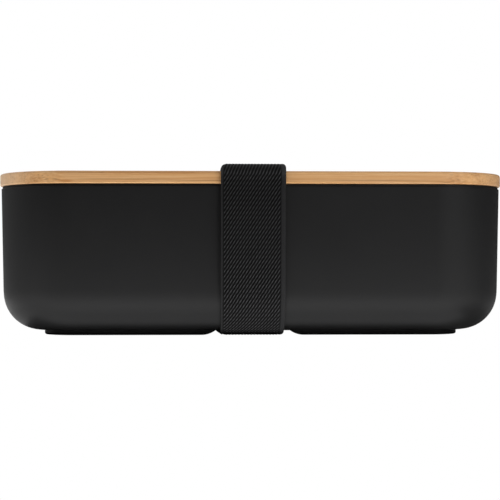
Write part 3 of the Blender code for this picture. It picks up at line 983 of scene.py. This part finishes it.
def strap_material():
    """Black elastic webbing: short slanted floats, each made of fine filaments, with painted shade in the
    gaps between them and a painted highlight on their crests.
    """
    shader = Shader("elastic_twill")
    relief = shader.node("ShaderNodeAttribute", attribute_name="relief").outputs["Fac"]
    weave = shader.node("ShaderNodeAttribute", attribute_name="weave").outputs["Vector"]
    split = shader.node("ShaderNodeSeparateXYZ", {0: weave})
    across, along, inside = split.outputs["X"], split.outputs["Y"], split.outputs["Z"]
    phase = shader.math("SUBTRACT", along, across)
    fuzz = shader.noise(shader.place(), 6.0)
    # The floats' pattern paints light along their crests and shade in the gaps between them
    column = shader.remap(shader.wave(across), 0.0, 1.0, 0.58, 1.0)
    floats = shader.math("MULTIPLY", shader.math("POWER", shader.wave(phase), 2.8), column)
    # The selvedges' tone follows their height too: painted shade in their grooves
    plain = shader.math("MULTIPLY", shader.math("POWER", relief, 1.5), 0.98)
    tone = shader.node("ShaderNodeMix", {0: inside, 2: plain, 3: floats}, data_type="FLOAT").outputs[0]
    tone = shader.math("ADD", tone, shader.math("MULTIPLY", shader.math("SUBTRACT", fuzz, 0.5), 0.35))
    # Painted shade and painted highlight: the ramp turns the gaps near black and the crests light
    color = shader.ramp(tone, WEBBING_PAINTED_LIGHT_RAMP)
    shader.set(Base_Color=color, Roughness=shader.remap(fuzz, 0.3, 0.7, 0.75, 0.95))
    shader.set(Specular_IOR_Level=0.12, Sheen_Weight=0.015, Sheen_Roughness=0.4)
    filament = shader.wave(shader.math("MULTIPLY", phase, FILAMENTS_PER_FLOAT))
    shader.bump(shader.math("ADD", shader.math("MULTIPLY", filament, 0.3), fuzz), 0.5, 0.05 * MM)
    return shader.material


def thread_material():
    """Black sewing thread with a little fuzz."""
    shader = Shader("sewing_thread")
    fuzz = shader.noise(shader.place(), 9.0)
    shader.set(Base_Color=shader.mix(fuzz, (0.012, 0.012, 0.012, 1), (0.03, 0.03, 0.03, 1)))
    shader.set(Roughness=shader.remap(fuzz, 0.3, 0.7, 0.5, 0.7), Sheen_Weight=0.1)
    shader.bump(fuzz, 0.4, 0.03 * MM)
    return shader.material


# ---------------------------------------------------------------- stage


# Softboxes: name, azimuth from the front to the right, elevation, distance, width, height, and the
# light that each throws on the middle of the box
LIGHTS = (
    ("top", 0, 88, 0.9, 1.0, 1.0, 0.85),
    ("back", 180, 45, 0.9, 0.8, 0.5, 0.4),
    ("right_band", 33, 17, 0.9, 0.14, 0.3, 0.47),
    ("right_near", 50, 28, 0.5, 0.18, 0.18, 0.42),
    ("left_wide", -74, 26, 0.9, 0.3, 0.4, 0.16),
    ("left_high", -80, 52, 0.9, 0.4, 0.4, 0.5),
    ("left_side", -105, 15, 0.8, 0.35, 0.4, 0.14),
    ("left_back", -140, 25, 0.8, 0.35, 0.4, 0.34),
)
# Glowing strips of table round the box: name, middle in X and Y, width, depth, radiance
CARDS = (
    ("card_near", 0.0, -0.094, 0.34, 0.052, 1.95),
    ("card_under", -0.004, -0.061, 0.178, 0.014, 0.95),
    ("card_left", -0.135, 0.0, 0.06, 0.2, 1.2),
    ("under_left", -0.096, 0.0, 0.014, 0.12, 0.8),
    ("card_right", 0.135, 0.0, 0.06, 0.2, 0.35),
    ("card_back", 0.0, 0.094, 0.34, 0.052, 1.4),
    ("under_back", 0.0, 0.064, 0.16, 0.008, 0.8),
)
WORLD_STRENGTH = 0.06
CARD_Z = 0.5 * MM
FLOOR_REACH = 3.0
CAMERA_PLACE = (-22.39 * MM, -580.84 * MM, 27.43 * MM)
CAMERA_YAW = -0.0399
CAMERA_LENS = 100.7
CAMERA_SHIFT = 0.0267


def make_world():
    """White for the camera, dimmer for the light that falls on the object."""
    world = bpy.data.worlds.new("studio")
    bpy.context.scene.world = world
    world.use_nodes = True
    tree = world.node_tree
    tree.nodes.clear()
    output = tree.nodes.new("ShaderNodeOutputWorld")
    mixer = tree.nodes.new("ShaderNodeMixShader")
    path = tree.nodes.new("ShaderNodeLightPath")
    tree.links.new(path.outputs["Is Camera Ray"], mixer.inputs[0])
    for socket, strength in ((1, WORLD_STRENGTH), (2, 1.0)):
        background = tree.nodes.new("ShaderNodeBackground")
        background.inputs["Color"].default_value = (1, 1, 1, 1)
        background.inputs["Strength"].default_value = strength
        tree.links.new(background.outputs[0], mixer.inputs[socket])
    tree.links.new(mixer.outputs[0], output.inputs[0])


def add_light(name, place, target, width, height, watts):
    data = bpy.data.lights.new(name, "AREA")
    data.shape = "RECTANGLE"
    data.size = width
    data.size_y = height
    data.energy = watts
    light = bpy.data.objects.new(name, data)
    light.visible_camera = False
    light.location = place
    light.rotation_euler = (Vector(target) - Vector(place)).to_track_quat("-Z", "Y").to_euler()
    bpy.context.scene.collection.objects.link(light)


def make_lights():
    middle = Vector((0, 0, TOP_Z / 2))
    for name, azimuth, elevation, distance, width, height, strength in LIGHTS:
        turn, rise = math.radians(azimuth), math.radians(elevation)
        toward = Vector((math.sin(turn) * math.cos(rise), -math.cos(turn) * math.cos(rise), math.sin(rise)))
        watts = strength * math.pi * distance**2
        add_light(name, middle + distance * toward, middle, width, height, watts)
    for name, x, y, width, depth, radiance in CARDS:
        watts = radiance * math.pi * width * depth
        add_light(name, (x, y, CARD_Z), (x, y, 1.0), width, depth, watts)


def make_floor():
    """A pale floor: white to the camera, and to everything else only as bright as the light on it."""
    signs = ((-1, -1), (1, -1), (1, 1), (-1, 1))
    corners = [(FLOOR_REACH * x, FLOOR_REACH * y, 0) for x, y in signs]
    mesh = bpy.data.meshes.new("floor")
    mesh.from_pydata(corners, [], [(0, 1, 2, 3)])
    floor = bpy.data.objects.new("floor", mesh)
    bpy.context.scene.collection.objects.link(floor)
    shader = Shader("pale_floor")
    shader.set(Base_Color=(0.8, 0.8, 0.8, 1), Roughness=0.9, Specular_IOR_Level=0.0)
    white = shader.node("ShaderNodeEmission", {"Color": (1, 1, 1, 1), "Strength": 1.0}).outputs[0]
    seen = shader.node("ShaderNodeLightPath").outputs["Is Camera Ray"]
    lit = shader.principled.outputs[0]
    mixer = shader.node("ShaderNodeMixShader", {0: seen, 1: lit, 2: white})
    shader.plug(shader.tree.nodes["Material Output"].inputs["Surface"], mixer.outputs[0])
    mesh.materials.append(shader.material)


def make_camera():
    data = bpy.data.cameras.new("camera")
    data.lens = CAMERA_LENS
    data.sensor_width = 36.0
    data.shift_y = CAMERA_SHIFT
    data.clip_start = 0.01
    data.clip_end = 20.0
    camera = bpy.data.objects.new("camera", data)
    camera.location = CAMERA_PLACE
    camera.rotation_euler = (math.pi / 2, 0, CAMERA_YAW)
    bpy.context.scene.collection.objects.link(camera)
    bpy.context.scene.camera = camera
    bpy.context.scene.view_settings.view_transform = "Standard"


# ---------------------------------------------------------------- the object


def build():
    """Make every piece, give each its material and body, and hide the CAD node it stands for."""
    shell = shell_material()
    rubber = rubber_material()
    finish_piece(make_tub(), shell, "container", "shell", "container_body")
    finish_piece(make_rail("foot_left", -1), rubber, "container", "foot_rubber", "foot_rail_left")
    finish_piece(make_rail("foot_right", 1), rubber, "container", "foot_rubber", "foot_rail_right")
    for number, strip in enumerate(make_strips(), start=1):
        finish_piece(strip, bamboo_material(number), "lid", "bamboo", f"lid_strip_{number}")
    finish_piece(make_seal(), silicone_material(), "lid", "seal_silicone", "lid_seal")
    finish_piece(make_divider(), shell, "divider", "shell", "divider")
    finish_piece(make_strap(), strap_material(), "strap", "strap_elastic", "strap_band")
    thread = thread_material()
    for number in (1, 2):
        row = make_stitch_row(number)
        finish_piece(row, thread, "strap", "strap_thread", f"strap_stitch_row_{number}")


build()
make_world()
make_lights()
make_floor()
make_camera()
